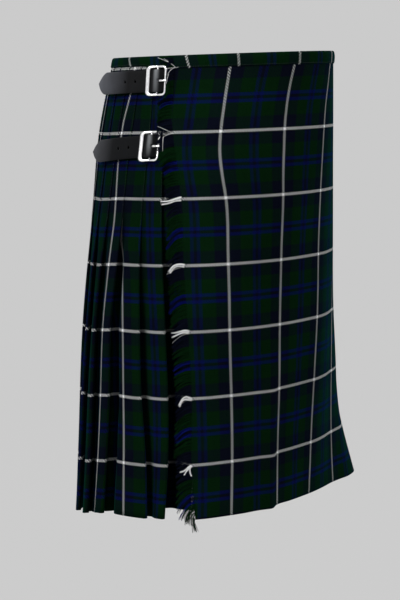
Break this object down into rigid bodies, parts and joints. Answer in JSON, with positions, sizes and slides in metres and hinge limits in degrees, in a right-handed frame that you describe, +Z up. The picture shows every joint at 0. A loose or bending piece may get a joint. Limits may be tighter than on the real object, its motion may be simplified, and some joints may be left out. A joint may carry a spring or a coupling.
{
  "type": "scottish kilt",
  "caption": "Knee-length wrapped kilt in a dark tartan, worn shape with nobody in it: flat apron with a fringed edge, knife pleats behind, leather straps and buckles.",
  "frame": {"origin": "centre of the waist opening at the kilt's top edge, where the wearer holds it up", "axes": "+Z up, -Y to the wearer's front, -X to the wearer's right, where the apron's fringed edge and the two visible buckles are"},
  "size_m": [0.4826, 0.3428, 0.6386],
  "materials": {
    "tartan": "twill-woven worsted wool in a dark green, navy and blue check with thin white lines",
    "strap_leather": "black strap leather, soft sheen",
    "buckle_metal": "bright plated"
  },
  "bodies": {
    "root": {"apron": "tartan", "under_apron": "tartan", "pleated_back": "tartan", "waistband": "tartan", "apron_fringe": "tartan", "strap_top": "strap_leather", "chape_top": "strap_leather", "buckle_top": "buckle_metal", "prong_top": "buckle_metal", "strap_lower": "strap_leather", "chape_lower": "strap_leather", "buckle_lower": "buckle_metal", "prong_lower": "buckle_metal", "strap_left": "strap_leather", "chape_left": "strap_leather", "buckle_left": "buckle_metal", "prong_left": "buckle_metal"}
  },
  "joints": []
}
